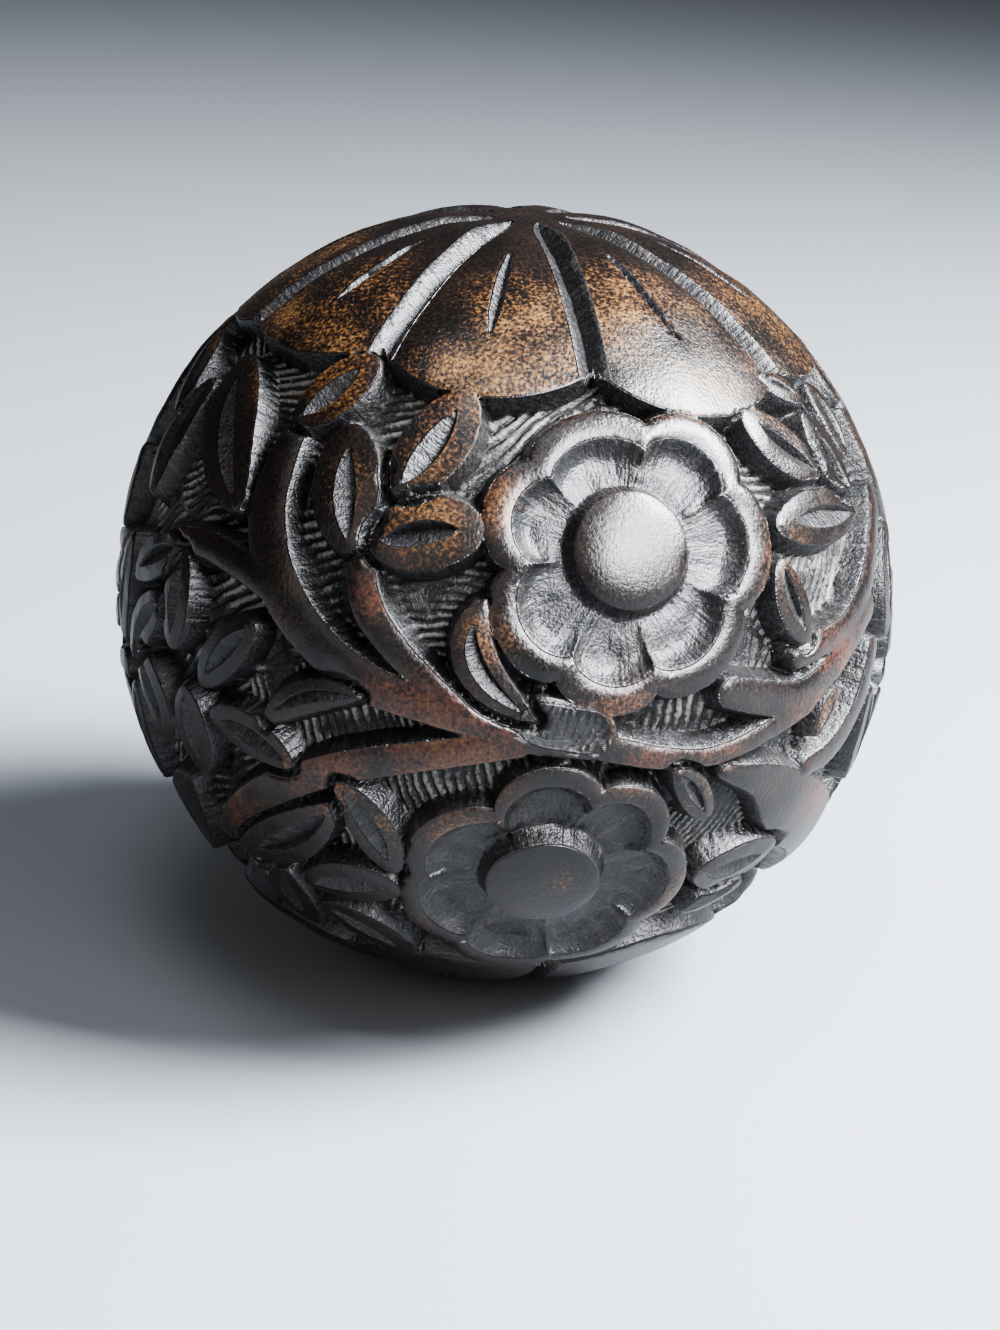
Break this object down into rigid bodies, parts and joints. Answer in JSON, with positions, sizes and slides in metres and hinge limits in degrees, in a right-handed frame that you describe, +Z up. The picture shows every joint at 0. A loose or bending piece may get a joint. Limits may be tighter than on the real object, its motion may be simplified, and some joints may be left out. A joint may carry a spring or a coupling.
{
  "type": "carved wooden ball",
  "caption": "Solid wooden ball carved all over with petal rosettes, lobed flowers, leaves and branching stems, standing on a small flat spot.",
  "frame": {"origin": "middle of the flat spot under the ball", "axes": "+Z up through both rosettes, -Y towards the front, where the two flowers stand one above the other"},
  "size_m": [0.1, 0.0999, 0.0981],
  "materials": {
    "stained_wood": "near-black stain under semi-gloss wax, worn to golden orange on the petals and leaves"
  },
  "bodies": {
    "root": {"carved_ball": "stained_wood"}
  },
  "joints": []
}
